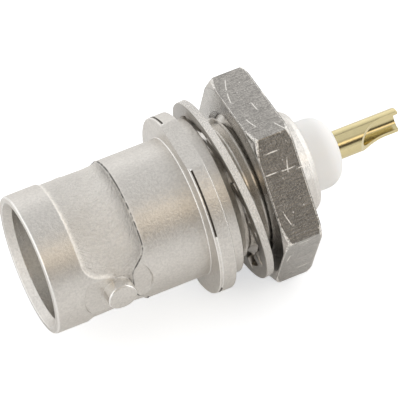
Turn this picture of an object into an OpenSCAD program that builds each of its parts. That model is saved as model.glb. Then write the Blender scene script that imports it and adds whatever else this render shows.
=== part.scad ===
// Bayonet (BNC) bulkhead jack with a solder contact, its lock washer and its hex nut.
// The axis runs along X. The mouth faces -X and the solder end faces +X.
// The origin is on the axis, where the collar's rear face seats on the panel.
// One bayonet lug points to -Y and the other to +Y, and the flange's two flats face -Z and +Z.
// All sizes are in millimetres.

/* [Barrel] */
// Outside diameter of the barrel, which the plug's sleeve slides over
barrel_d = 9.65; // [9.55:0.01:9.68]
// From the mouth to the front face of the flange
barrel_length = 11; // [10.6:0.1:12]
// Bore of the mouth, which takes the plug's spring fingers
mouth_bore_d = 8.1; // [8.05:0.01:8.2]
// Depth of that bore, down to the shoulder where the fingers stop
mouth_depth = 8.4; // [8.2:0.1:8.8]
// Depth of the lead-in cone at the mouth
lead_in_depth = 0.6; // [0.4:0.05:0.8]
// Width of the lead-in cone on the radius
lead_in_width = 0.34; // [0.2:0.02:0.4]
// Break of the mouth's outer edge
mouth_edge = 0.22; // [0.1:0.02:0.3]

/* [Bayonet lugs] */
// Diameter of each lug
lug_d = 2.05; // [1.9:0.05:2.1]
// Diameter over the tips of both lugs
lug_tip_d = 11; // [10.9:0.05:11.1]
// From the mouth to the middle of the lugs
lug_from_mouth = 4.44; // [4.3:0.02:4.8]
// Outside diameter of the hollow mill that cuts round each lug
lug_mill_d = 4.88; // [4.6:0.02:5]
// Depth of the flat floor that the mill leaves, below the barrel's surface
lug_mill_depth = 0.22; // [0.18:0.01:0.24]

/* [Milled reliefs] */
// From the mouth to the front edge of each relief
relief_start = 2.3; // [2.1:0.05:2.5]
// Length of each relief along the barrel
relief_length = 4.45; // [4:0.05:4.5]
// Depth of each relief at its deepest
relief_depth = 0.19; // [0.1:0.01:0.22]
// Angle of barrel that each relief covers
relief_arc = 144; // [130:1:146]
// Radius of the relief's corners, left by the end mill
relief_corner_r = 1.4; // [0.8:0.05:1.6]

/* [Flange and collar] */
// Diameter of the flange
flange_d = 12.44; // [12.2:0.02:12.6]
// Thickness of the flange
flange_thickness = 1.2; // [1:0.05:1.6]
// Distance between the flange's two wrench flats
flange_flats = 11.6; // [11.4:0.05:12]
// Edge break on the flange
flange_edge = 0.14; // [0.08:0.02:0.2]
// Diameter of the collar behind the flange
collar_d = 10.84; // [10.6:0.02:11]
// Length of the collar
collar_length = 0.9; // [0.6:0.05:1.2]

/* [Threaded tail] */
// Major diameter of the panel thread, 3/8 inch with 32 turns to the inch
thread_d = 9.525; // [9.4:0.005:9.55]
// Length of the threaded tail behind the collar
tail_length = 5.3; // [5:0.1:7]
// Chamfer at the end of the tail
tail_chamfer = 0.4; // [0.3:0.05:0.5]
// Diameter of the smooth spigot behind the thread
spigot_d = 7.1; // [7:0.02:7.2]
// Length of the spigot behind the tail
spigot_length = 1.35; // [1:0.05:1.8]
// Outer round of the spigot's end, which is rolled over the insulator
spigot_round = 0.48; // [0.3:0.02:0.6]
// Thickness of the rolled lip that keeps the insulators in
rolled_lip = 0.45; // [0.3:0.05:0.6]

/* [Lock washer] */
// Outside diameter of the washer
washer_d = 12.98; // [12.6:0.02:13.1]
// Thickness of the washer's sheet
washer_thickness = 0.55; // [0.45:0.05:0.6]
// Width of the ring that carries the teeth
washer_ring_width = 0.94; // [0.84:0.02:1]
// Number of inner teeth
tooth_count = 10; // [8:1:12]
// Width of each tooth round the ring
tooth_width = 1.9; // [1.5:0.1:2]
// Twist of each tooth out of the sheet's plane
tooth_twist = 5; // [3:0.5:7]
// Lean of the loose washer on the thread
washer_lean = 6.1; // [5:0.1:7]
// Direction of the washer's foremost point, turned from -Y towards +Z
washer_lean_towards = 114.6; // [0:0.1:180]
// Gap between the tooth tips and the thread where they come closest
washer_play = 0.05; // [0.04:0.01:0.08]
// Gap between the leaning washer's teeth and the collar
washer_to_collar = 0.05; // [0.04:0.01:0.3]

/* [Hex nut] */
// Size of the nut across its flats
nut_across_flats = 12.7; // [12.6:0.05:13]
// Thickness of the nut
nut_thickness = 2.72; // [2.4:0.02:2.8]
// Diameter of the round edge that the chamfer leaves on each face
nut_face_d = 13.48; // [13.3:0.02:13.8]
// Slope of the corner chamfers
nut_chamfer_slope = 30; // [25:1:32]
// Angle that the nut stands at on the thread, from -Y towards +Z to a corner
nut_angle = 7.3; // [0:0.1:60]
// Gap between the leaning washer and the nut
nut_to_washer = 0.3; // [0.1:0.01:0.6]
// Radial gap between the nut and the thread's crests
nut_play = 0.045; // [0.03:0.005:0.06]
// Countersink at each end of the nut's bore
nut_countersink = 0.28; // [0.2:0.02:0.4]

/* [Insulators] */
// Bore of the shell that holds both insulators
cavity_d = 6.2; // [6.1:0.02:6.3]
// Bore through the lip at the bottom of the mouth, which the insulators stop against
lip_d = 5.6; // [5.4:0.1:5.8]
// Thickness of that lip
lip_thickness = 0.8; // [0.6:0.1:1]
// Radial gap round each insulator and round the contact
insulator_play = 0.02; // [0.01:0.01:0.03]
// Diameter of the front insulator's nose, inside the mouth
front_nose_d = 4.9; // [4.7:0.05:5]
// From the mouth to the end of that nose
front_nose_from_mouth = 3.3; // [3.2:0.05:3.6]
// Edge break of the front insulator's nose
front_nose_edge = 0.1; // [0.05:0.01:0.2]
// From the seating plane back to where the two insulators meet
insulator_joint = 0.5; // [0.3:0.1:1]
// Diameter of the rear insulator's nose
rear_nose_d = 4.94; // [4.7:0.02:5.2]
// Length of the rear insulator's nose behind the spigot
rear_nose_length = 2.45; // [2.2:0.05:2.8]
// End round of that nose
rear_nose_round = 1.4; // [1:0.05:1.4]

/* [Centre contact] */
// Diameter of the contact's rear end
tube_d = 2.006; // [1.9:0.01:2.1]
// How far the contact stands out behind the rear insulator
tube_stand_out = 4.8; // [4.4:0.05:5.2]
// Bore of the solder cup
cup_d = 1.44; // [1.3:0.02:1.5]
// Depth of the solder cup
cup_depth = 3.9; // [3.6:0.1:4.2]
// Length of the half tube at the open end of the cup
cup_flat = 0.95; // [0.8:0.05:1.1]
// Radius that the side cutter leaves where the cup opens
cutter_r = 3; // [2.6:0.1:3.2]
// Diameter of the socket end, inside the mouth
socket_d = 2.2; // [2.1:0.05:2.3]
// Bore of the socket, which takes the plug's pin
socket_bore_d = 1.4; // [1.36:0.02:1.42]
// Depth of the socket's bore
socket_depth = 5; // [4.5:0.1:5.5]
// How far the socket sits back from the end of the front insulator
socket_set_back = 0.15; // [0.1:0.05:0.3]
// Width of the socket's slots
slot_width = 0.2; // [0.15:0.01:0.22]
// Length of the socket's slots
slot_length = 4; // [3:0.1:4.2]
// Edge break at both ends of the contact
contact_edge = 0.13; // [0.08:0.01:0.16]
// Width and depth of the lead-in at the socket's bore
socket_lead_in = 0.15; // [0.1:0.01:0.2]
// Diameter of the ring that locks the contact between the insulators
ring_d = 3.2; // [3:0.1:3.4]
// Thickness of that ring
ring_thickness = 1.2; // [1:0.1:1.4]

/* [Hidden] */
$fn = 96;
// How far each cutter runs past the surface that it cuts
eps = 0.5;
// How far the end mill's outline runs past the relief that it leaves
relief_margin = 0.05;
// Shares of the relief's length at which its run-in ends, its floor is deepest and its run-out starts
run_in_share = 0.18;
deepest_share = 0.62;
run_out_share = 0.9;
// Shares of the relief's depth at the ends of its run-in and at the start of its run-out
run_in_depth = 0.8;
run_out_depth = 0.85;
// How far the root of each washer tooth runs into the ring
tooth_root = 0.3;
// Depth of the drill's point at the bottom of the contact's two bores
drill_point = 0.3;

barrel_r = barrel_d / 2;
mouth_bore_r = mouth_bore_d / 2;
thread_r = thread_d / 2;
collar_r = collar_d / 2;
flange_r = flange_d / 2;
cavity_r = cavity_d / 2;
lip_r = lip_d / 2;
lug_floor = barrel_r - lug_mill_depth;
lug_root = (lug_floor + mouth_bore_r) / 2;
insulator_r = cavity_r - insulator_play;
rear_nose_r = rear_nose_d / 2;

// Places along the axis, from the seating plane
flange_rear = -collar_length;
flange_front = flange_rear - flange_thickness;
mouth = flange_front - barrel_length;
shoulder = mouth + mouth_depth;
lug_middle = mouth + lug_from_mouth;
front_nose_end = mouth + front_nose_from_mouth;
socket_front = front_nose_end + socket_set_back;
spigot_end = tail_length + spigot_length;
cavity_end = spigot_end - rolled_lip;
rear_nose_end = spigot_end + rear_nose_length;
tube_end = rear_nose_end + tube_stand_out;
cup_floor = tube_end - cup_depth;
cup_plane_start = tube_end - cup_flat;

// The washer leans until it nearly meets the collar in front and the nut behind
washer_ring_r = washer_d / 2 - washer_ring_width;
tooth_rise = tooth_width / 2 * sin(tooth_twist);
washer_middle = collar_r * tan(washer_lean) + tooth_rise + washer_to_collar;
washer_rearmost = washer_middle + washer_thickness * cos(washer_lean)
    + washer_d / 2 * sin(washer_lean);
tooth_drop = (tooth_rise + washer_thickness / 2) * sin(washer_lean);
tooth_tip_r = (thread_r + washer_play + tooth_drop) / cos(washer_lean);
nut_front = washer_rearmost + nut_to_washer;
nut_corner_r = nut_across_flats / 2 / cos(30);

nickel = [0.80, 0.79, 0.76];
nut_nickel = [0.66, 0.65, 0.63];
washer_nickel = [0.60, 0.58, 0.55];
white_plastic = [0.93, 0.92, 0.90];
gold = [0.80, 0.68, 0.40];

// Turns what is drawn along Z to lie along X
module along_x() rotate([0, 90, 0]) children();

// A ring shape: the half profile lies at radius x and place y on the axis
module turned(points) rotate_extrude() polygon(points);

// Half profile of a round post from y = from to y = to, with its far edge rounded
module rounded_half(r, from, to, round) {
    translate([0, from]) square([r, to - from - round]);
    translate([0, to - round - eps / 10]) square([r - round, round + eps / 10]);
    translate([r - round, to - round]) intersection() {
        circle(round);
        square(round);
    }
}

// The barrel, flange, collar, tail and spigot as the lathe leaves them
module turned_body() {
    turned(outline);
    rotate_extrude() rounded_half(spigot_d / 2, flange_rear, spigot_end, spigot_round);
}

// Half outline of the barrel, flange, collar and tail
outline = [
    [0, mouth],
    [barrel_r - mouth_edge, mouth],
    [barrel_r, mouth + mouth_edge],
    [barrel_r, flange_front],
    [flange_r - flange_edge, flange_front],
    [flange_r, flange_front + flange_edge],
    [flange_r, flange_rear - flange_edge],
    [flange_r - flange_edge, flange_rear],
    [collar_r, flange_rear],
    [collar_r, 0],
    [thread_r, 0],
    [thread_r, tail_length - tail_chamfer],
    [thread_r - tail_chamfer, tail_length],
    [0, tail_length]
];

// Everything that is bored out of the shell, from the mouth to the spigot's end
module bores() turned([
    [0, mouth - eps],
    [mouth_bore_r + lead_in_width, mouth - eps],
    [mouth_bore_r + lead_in_width, mouth],
    [mouth_bore_r, mouth + lead_in_depth],
    [mouth_bore_r, shoulder],
    [lip_r, shoulder],
    [lip_r, shoulder + lip_thickness],
    [cavity_r, shoulder + lip_thickness],
    [cavity_r, cavity_end],
    [rear_nose_r + insulator_play, cavity_end],
    [rear_nose_r + insulator_play, spigot_end + eps],
    [0, spigot_end + eps]
]);

// Ring of metal that the end mill takes: it runs in gently and ends in a sharper edge
module relief_ring() {
    run_in = relief_start + run_in_share * relief_length;
    deepest = relief_start + deepest_share * relief_length;
    run_out = relief_start + run_out_share * relief_length;
    turned([
        [barrel_r + eps, mouth + relief_start - 2 * relief_margin],
        [barrel_r, mouth + relief_start],
        [barrel_r - run_in_depth * relief_depth, mouth + run_in],
        [barrel_r - relief_depth, mouth + deepest],
        [barrel_r - run_out_depth * relief_depth, mouth + run_out],
        [barrel_r, mouth + relief_start + relief_length],
        [barrel_r + eps, mouth + relief_start + relief_length + 2 * relief_margin]
    ]);
}

// Sector of a thick tube, centred on +X
module sector(arc, from, to) {
    rotate([0, 0, -arc / 2]) rotate_extrude(angle = arc)
        translate([mouth_bore_r, from]) square([barrel_r - mouth_bore_r + eps, to - from]);
}

// Outline of one relief: a band round the barrel with round corners
module relief_outline() {
    from = mouth + relief_start - relief_margin;
    to = mouth + relief_start + relief_length + relief_margin;
    corner_angle = asin(relief_corner_r / barrel_r);
    sector(relief_arc, from + relief_corner_r, to - relief_corner_r);
    sector(relief_arc - 2 * corner_angle, from, to);
    for (side = [-1, 1], z = [from + relief_corner_r, to - relief_corner_r])
        rotate([0, 0, side * (relief_arc / 2 - corner_angle)])
            translate([mouth_bore_r, 0, z]) rotate([0, 90, 0])
            cylinder(r = relief_corner_r, h = barrel_r - mouth_bore_r + eps);
}

// What the end mill takes off both sides of the barrel
module reliefs() intersection() {
    relief_ring();
    union() {
        relief_outline();
        rotate([0, 0, 180]) relief_outline();
    }
}

// What the hollow mill takes off round both lugs
module lug_clearings() {
    for (side = [-1, 1])
        translate([0, side * lug_floor, lug_middle])
            rotate([-side * 90, 0, 0]) cylinder(d = lug_mill_d, h = lug_mill_depth + eps);
}

// The two lugs, whose tips keep the round of the turned blank
module lugs() intersection() {
    translate([0, 0, lug_middle]) cylinder(d = lug_tip_d, h = 2 * lug_d, center = true);
    for (side = [-1, 1])
        translate([0, side * lug_root, lug_middle])
            rotate([-side * 90, 0, 0]) cylinder(d = lug_d, h = lug_tip_d / 2);
}

// The nickel-plated brass shell, turned and milled from one bar
module shell() color(nickel) along_x() difference() {
    union() {
        difference() {
            turned_body();
            reliefs();
            lug_clearings();
            for (side = [0, 180]) rotate([0, 0, side])
                translate([flange_flats / 2, -flange_r, flange_front - eps / 2])
                cube([flange_r, 2 * flange_r, flange_thickness + eps]);
        }
        lugs();
    }
    bores();
}

// The insulator in front: a nose inside the mouth and a body behind the lip
module front_insulator() color(white_plastic) along_x() difference() {
    turned([
        [0, front_nose_end],
        [front_nose_d / 2 - front_nose_edge, front_nose_end],
        [front_nose_d / 2, front_nose_end + front_nose_edge],
        [front_nose_d / 2, shoulder],
        [lip_r - insulator_play, shoulder],
        [lip_r - insulator_play, shoulder + lip_thickness],
        [insulator_r, shoulder + lip_thickness],
        [insulator_r, insulator_joint],
        [0, insulator_joint]
    ]);
    translate([0, 0, front_nose_end - eps])
        cylinder(d = socket_d + 2 * insulator_play, h = insulator_joint - front_nose_end + 2 * eps);
}

// The insulator behind: a body that fills the tail and a nose round the contact
module rear_insulator() color(white_plastic) along_x() difference() {
    union() {
        translate([0, 0, insulator_joint])
            cylinder(r = insulator_r, h = cavity_end - insulator_joint);
        rotate_extrude() rounded_half(rear_nose_r, insulator_joint, rear_nose_end, rear_nose_round);
    }
    translate([0, 0, insulator_joint - eps])
        cylinder(d = ring_d + 2 * insulator_play, h = ring_thickness + eps);
    translate([0, 0, insulator_joint])
        cylinder(d = tube_d + 2 * insulator_play, h = rear_nose_end);
}

// The gold-plated contact: a slotted socket, a locking ring and a solder cup
module center_contact() color(gold) along_x() difference() {
    turned([
        [0, socket_front],
        [socket_d / 2 - contact_edge, socket_front],
        [socket_d / 2, socket_front + contact_edge],
        [socket_d / 2, insulator_joint],
        [ring_d / 2, insulator_joint],
        [ring_d / 2, insulator_joint + ring_thickness],
        [tube_d / 2, insulator_joint + ring_thickness],
        [tube_d / 2, tube_end - contact_edge],
        [tube_d / 2 - contact_edge, tube_end],
        [0, tube_end]
    ]);
    socket_hole();
    cup_hole();
    cup_opening();
}

// The socket's bore, with a small lead-in, and the two cuts that make its four fingers
module socket_hole() {
    turned([
        [0, socket_front - eps],
        [socket_bore_d / 2 + socket_lead_in, socket_front - eps],
        [socket_bore_d / 2 + socket_lead_in, socket_front],
        [socket_bore_d / 2, socket_front + socket_lead_in],
        [socket_bore_d / 2, socket_front + socket_depth],
        [0, socket_front + socket_depth + drill_point]
    ]);
    for (turn = [45, 135]) rotate([0, 0, turn])
        translate([-slot_width / 2, -socket_d, socket_front - eps])
        cube([slot_width, 2 * socket_d, slot_length + eps]);
}

// The solder cup's drilled bore
module cup_hole() turned([
    [0, cup_floor - drill_point],
    [cup_d / 2, cup_floor],
    [cup_d / 2, tube_end + eps],
    [0, tube_end + eps]
]);

// The side cut that opens the solder cup towards -Y
module cup_opening() {
    translate([-tube_d, -cutter_r, cup_plane_start])
        rotate([0, 90, 0]) cylinder(r = cutter_r, h = 2 * tube_d);
    translate([-tube_d, -cutter_r, cup_plane_start])
        cube([2 * tube_d, cutter_r, cup_flat + eps]);
}

// One inner tooth of the washer, pointing to +X in the washer's own plane
module tooth() {
    length = washer_ring_r - tooth_tip_r + tooth_root;
    translate([tooth_tip_r, 0, washer_thickness / 2]) rotate([tooth_twist, 0, 0])
        translate([0, -tooth_width / 2, -washer_thickness / 2])
        cube([length, tooth_width, washer_thickness]);
}

// The washer lying flat, with its front face at z = 0
module flat_washer() difference() {
    union() {
        difference() {
            cylinder(d = washer_d, h = washer_thickness);
            translate([0, 0, -eps]) cylinder(r = washer_ring_r, h = washer_thickness + 2 * eps);
        }
        for (i = [0 : tooth_count - 1]) rotate([0, 0, i * 360 / tooth_count]) tooth();
    }
    translate([0, 0, -2 * eps]) cylinder(r = tooth_tip_r, h = washer_thickness + 4 * eps);
}

// The lock washer, loose on the thread
module lock_washer() color(washer_nickel) along_x()
    translate([0, 0, washer_middle])
    rotate([0, 0, -90 - washer_lean_towards]) rotate([0, washer_lean, 0]) flat_washer();

// The hexagon's blank, chamfered at both ends
module hexagon() intersection() {
    rise = (nut_corner_r + eps - nut_face_d / 2) * tan(nut_chamfer_slope);
    cylinder(r = nut_corner_r, h = nut_thickness, $fn = 6);
    turned([
        [0, 0],
        [nut_face_d / 2, 0],
        [nut_corner_r + eps, rise],
        [nut_corner_r + eps, nut_thickness - rise],
        [nut_face_d / 2, nut_thickness],
        [0, nut_thickness]
    ]);
}

// The nut's bore at the thread's crests, with a countersink at each end
module nut_bore() {
    r = thread_r + nut_play;
    turned([
        [0, -eps],
        [r + nut_countersink, -eps],
        [r + nut_countersink, 0],
        [r, nut_countersink],
        [r, nut_thickness - nut_countersink],
        [r + nut_countersink, nut_thickness],
        [r + nut_countersink, nut_thickness + eps],
        [0, nut_thickness + eps]
    ]);
}

// The hex nut that pulls the collar against the panel
module hex_nut() color(nut_nickel) along_x()
    translate([0, 0, nut_front]) rotate([0, 0, -90 - nut_angle]) difference() {
        hexagon();
        nut_bore();
    }

shell();
front_insulator();
rear_insulator();
center_contact();
lock_washer();
hex_nut();
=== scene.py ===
"""Dressed model of a bayonet bulkhead jack with its lock washer and hex nut.

The connector lies along X with its mouth towards -X. Every size below is in millimetres, and the
origin is on the axis where the collar's rear face seats on the panel. Places that the solid model
already fixes are read from its nodes.
"""

import logging
import math
from dataclasses import dataclass, field
from enum import Enum
from typing import Any, Sequence

import bmesh
import bpy
from mathutils import Matrix, Vector

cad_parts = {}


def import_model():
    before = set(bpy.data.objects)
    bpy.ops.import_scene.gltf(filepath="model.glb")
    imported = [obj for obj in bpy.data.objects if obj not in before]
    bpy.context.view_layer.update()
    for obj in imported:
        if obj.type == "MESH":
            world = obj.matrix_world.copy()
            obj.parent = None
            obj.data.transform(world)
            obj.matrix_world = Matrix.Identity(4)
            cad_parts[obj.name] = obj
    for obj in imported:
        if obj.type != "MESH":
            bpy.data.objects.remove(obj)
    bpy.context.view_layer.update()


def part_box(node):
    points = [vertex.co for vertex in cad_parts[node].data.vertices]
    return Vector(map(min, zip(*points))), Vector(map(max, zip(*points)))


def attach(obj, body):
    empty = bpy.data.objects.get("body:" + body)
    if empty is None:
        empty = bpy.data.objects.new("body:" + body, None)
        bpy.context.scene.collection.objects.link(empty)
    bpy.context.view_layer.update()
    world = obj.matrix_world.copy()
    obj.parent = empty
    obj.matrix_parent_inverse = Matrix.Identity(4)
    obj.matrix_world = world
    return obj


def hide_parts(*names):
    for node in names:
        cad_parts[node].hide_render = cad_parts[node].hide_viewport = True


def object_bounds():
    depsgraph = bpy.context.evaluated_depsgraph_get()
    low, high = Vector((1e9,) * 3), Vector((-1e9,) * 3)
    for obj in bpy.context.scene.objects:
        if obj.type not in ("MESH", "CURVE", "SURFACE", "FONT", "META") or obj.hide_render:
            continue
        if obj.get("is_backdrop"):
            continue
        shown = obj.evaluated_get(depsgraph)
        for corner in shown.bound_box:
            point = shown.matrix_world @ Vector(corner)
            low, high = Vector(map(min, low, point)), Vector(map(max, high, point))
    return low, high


LOG = logging.getLogger("jack")
MM = 0.001


# --------------------------------------------------------------------------------------------
# Turned profiles and other shaping helpers
# --------------------------------------------------------------------------------------------


@dataclass(frozen=True)
class Corner:
    """One corner of a turned profile.

    Args:
        x: Place along the axis, in millimetres.
        r: Distance from the axis, in millimetres.
        blend: Radius of the fillet or edge round at this corner, 0 for none.
    """

    x: float
    r: float
    blend: float = 0.0


class Sweep(Enum):
    """How a turned profile closes when it is swept round the axis."""

    RING = "closed loop clear of the axis"
    POST = "open line from the axis back to the axis"


def arc(centre: Vector, start: Vector, end: Vector, steps: int) -> list[Vector]:
    """Points of the shorter arc between two radii of one circle.

    Args:
        centre: Centre of the circle.
        start: Radius vector of the first point.
        end: Radius vector of the last point.
        steps: Number of chords.

    Returns:
        The points, both ends included.
    """
    spread = start.angle(end)
    radii = [
        (start * math.sin((steps - step) / steps * spread) + end * math.sin(step / steps * spread))
        / math.sin(spread)
        for step in range(steps + 1)
    ]
    return [centre + radius for radius in radii]


def rounded_profile(corners: Sequence[Corner], sweep: Sweep, steps: int = 5) -> list[Vector]:
    """Replaces each blended corner by an arc, held by a point on each side.

    Args:
        corners: The profile's corners in order.
        sweep: Whether the profile is a closed loop or an open line.
        steps: Number of chords in each arc.

    Returns:
        Points in millimetres, as (x, 0, r).
    """
    points: list[Vector] = []
    count = len(corners)
    for index, corner in enumerate(corners):
        here = Vector((corner.x, 0.0, corner.r))
        ends = sweep is Sweep.POST and index in (0, count - 1)
        if corner.blend <= 0.0 or ends:
            points.append(here)
            continue
        before, after = corners[index - 1], corners[(index + 1) % count]
        back = Vector((before.x, 0.0, before.r)) - here
        ahead = Vector((after.x, 0.0, after.r)) - here
        half = back.angle(ahead) / 2
        room = [
            max(0.48 * way.length, 0.97 * (way.length - other.blend))
            for way, other in ((back, before), (ahead, after))
        ]
        reach = min(corner.blend / math.tan(half), *room)
        radius = reach * math.tan(half)
        back_reach = back.normalized() * reach
        ahead_reach = ahead.normalized() * reach
        centre = here + (back_reach + ahead_reach).normalized() * radius / math.sin(half)
        if back.length > 2.2 * reach:
            points.append(here + back_reach * 1.3)
        points += arc(centre, here + back_reach - centre, here + ahead_reach - centre, steps)
        if ahead.length > 2.2 * reach:
            points.append(here + ahead_reach * 1.3)
    return points


def turned(points: Sequence[Vector], sweep: Sweep, steps: int) -> bmesh.types.BMesh:
    """Sweeps a profile round the X axis into a closed skin.

    Args:
        points: The profile in millimetres, as (x, 0, r).
        sweep: Whether the profile is a closed loop or an open line that ends on the axis.
        steps: Number of facets round the axis.

    Returns:
        A mesh in millimetres, with its faces outwards.
    """
    mesh = bmesh.new()
    line = [mesh.verts.new(point) for point in points]
    edges = [mesh.edges.new(pair) for pair in zip(line, line[1:])]
    if sweep is Sweep.RING:
        edges.append(mesh.edges.new((line[-1], line[0])))
    bmesh.ops.spin(
        mesh,
        geom=line + edges,
        cent=(0, 0, 0),
        axis=(1, 0, 0),
        angle=math.tau,
        steps=steps,
        use_merge=True,
    )
    bmesh.ops.remove_doubles(mesh, verts=mesh.verts, dist=1e-5)
    bmesh.ops.recalc_face_normals(mesh, faces=mesh.faces)
    return mesh


def joined(into: bmesh.types.BMesh, other: bmesh.types.BMesh) -> None:
    """Adds one mesh to another and frees it.

    Args:
        into: The mesh that grows.
        other: The mesh that is used up.
    """
    holder = bpy.data.meshes.new("held")
    other.to_mesh(holder)
    into.from_mesh(holder)
    bpy.data.meshes.remove(holder)
    other.free()


def thread_ridge(
    start: float, turns: float, root: float, crest: float, pitch: float, phase: float
) -> bmesh.types.BMesh:
    """Sweeps one right-hand V ridge along the X axis.

    Args:
        start: Place of the ridge's first turn along the axis.
        turns: Number of turns.
        root: Radius that the ridge stands on.
        crest: Radius of the ridge's top, inside the root for a nut's thread.
        pitch: Advance in one turn.
        phase: Angle at which the ridge starts, in turns.

    Returns:
        A mesh in millimetres whose two ends run out into the root.
    """
    per_turn = 96
    sink = math.copysign(0.03, root - crest)
    foot, top = 0.46 * pitch, 0.07 * pitch
    mesh = bmesh.new()
    loop = [
        mesh.verts.new((start + x, 0.0, r))
        for x, r in ((-foot, root + sink), (-top, crest), (top, crest), (foot, root + sink))
    ]
    edges = [mesh.edges.new(pair) for pair in zip(loop, loop[1:] + loop[:1])]
    bmesh.ops.rotate(
        mesh, verts=loop, cent=(0, 0, 0), matrix=Matrix.Rotation(math.tau * phase, 3, "X")
    )
    mesh.faces.new(loop)
    steps = round(turns * per_turn)
    swept = bmesh.ops.spin(
        mesh,
        geom=loop + edges,
        cent=(0, 0, 0),
        axis=(1, 0, 0),
        dvec=(pitch / per_turn, 0, 0),
        angle=math.tau * steps / per_turn,
        steps=steps,
    )
    mesh.faces.new([item for item in swept["geom_last"] if isinstance(item, bmesh.types.BMVert)])
    length = pitch * steps / per_turn
    for vert in mesh.verts:
        along = vert.co.x - start
        rise = min(1.0, max(0.0, along / pitch + 0.3), max(0.0, (length - along) / pitch + 0.3))
        radius = math.hypot(vert.co.y, vert.co.z)
        scale = (root + sink + (radius - root - sink) * rise) / radius
        vert.co.y *= scale
        vert.co.z *= scale
    bmesh.ops.recalc_face_normals(mesh, faces=mesh.faces)
    return mesh


def cut(body: bpy.types.Object, tool: bpy.types.Object, how: str = "DIFFERENCE") -> None:
    """Cuts one solid by another and removes the tool.

    Args:
        body: The object that is cut.
        tool: The object that cuts it.
        how: The boolean operation.
    """
    step = body.modifiers.new("cut", "BOOLEAN")
    step.operation = how
    step.solver = "EXACT"
    step.object = tool
    settle(body)
    bpy.data.objects.remove(tool)


def settle(body: bpy.types.Object) -> None:
    """Applies every modifier of an object to its mesh."""
    graph = bpy.context.evaluated_depsgraph_get()
    made = bpy.data.meshes.new_from_object(body.evaluated_get(graph))
    body.modifiers.clear()
    old = body.data
    body.data = made
    bpy.data.meshes.remove(old)


def solid(name: str, mesh: bmesh.types.BMesh) -> bpy.types.Object:
    """Puts a mesh in millimetres into the scene as an object in metres.

    Args:
        name: The object's name.
        mesh: The mesh, which is used up.

    Returns:
        The object, at the origin.
    """
    bmesh.ops.scale(mesh, vec=(MM, MM, MM), verts=mesh.verts)
    data = bpy.data.meshes.new(name)
    mesh.to_mesh(data)
    mesh.free()
    made = bpy.data.objects.new(name, data)
    bpy.context.scene.collection.objects.link(made)
    return made


def smooth(piece: bpy.types.Object, sharpest: float = 40.0) -> None:
    """Shades a piece smooth, apart from its sharp edges.

    Args:
        piece: The piece to shade.
        sharpest: Angle in degrees above which an edge stays sharp.
    """
    piece.data.shade_smooth()
    piece.data.set_sharp_from_angle(angle=math.radians(sharpest))


def ease(value: float) -> float:
    """A smooth step from 0 to 1."""
    held = min(1.0, max(0.0, value))
    return held * held * (3 - 2 * held)


# --------------------------------------------------------------------------------------------
# Finishes
# --------------------------------------------------------------------------------------------


def colour(hex_code: str) -> tuple[float, float, float, float]:
    """Turns an sRGB hex colour to linear.

    Args:
        hex_code: Six hex digits.

    Returns:
        Linear red, green, blue and an alpha of 1.
    """
    parts = [int(hex_code[i : i + 2], 16) / 255 for i in (0, 2, 4)]
    linear = [p / 12.92 if p <= 0.04045 else ((p + 0.055) / 1.055) ** 2.4 for p in parts]
    return (*linear, 1.0)


def add_node(
    tree: bpy.types.NodeTree, kind: str, settings: dict[str, Any] | None = None, **inputs: Any
) -> bpy.types.Node:
    """Adds a shader node with its settings and links.

    Args:
        tree: The node tree.
        kind: The node's type.
        settings: Properties to set on the node.
        **inputs: Values or output sockets for its inputs. A socket is named with _ for a space, or
            with i and its number.

    Returns:
        The node.
    """
    node = tree.nodes.new(kind)
    for name, value in (settings or {}).items():
        setattr(node, name, value)
    for name, value in inputs.items():
        numbered = name[0] == "i" and name[1:].isdigit()
        socket = node.inputs[int(name[1:]) if numbered else name.replace("_", " ")]
        if isinstance(value, bpy.types.NodeSocket):
            tree.links.new(value, socket)
        else:
            socket.default_value = value
    return node


def surface(
    name: str, **values: Any
) -> tuple[bpy.types.Material, bpy.types.Node, bpy.types.NodeSocket]:
    """Starts a material whose patterns are drawn in millimetres.

    Args:
        name: The finish's name.
        **values: Constant inputs of the shader.

    Returns:
        The material, its shader, and its coordinates in millimetres.
    """
    material = bpy.data.materials.new(name)
    material.use_nodes = True
    tree = material.node_tree
    shader = tree.nodes["Principled BSDF"]
    for key, value in values.items():
        shader.inputs[key.replace("_", " ")].default_value = value
    place = add_node(tree, "ShaderNodeTexCoord")
    scaled = add_node(
        tree, "ShaderNodeMapping", Vector=place.outputs["Object"], Scale=(1 / MM, 1 / MM, 1 / MM)
    )
    return material, shader, scaled.outputs["Vector"]


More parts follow.
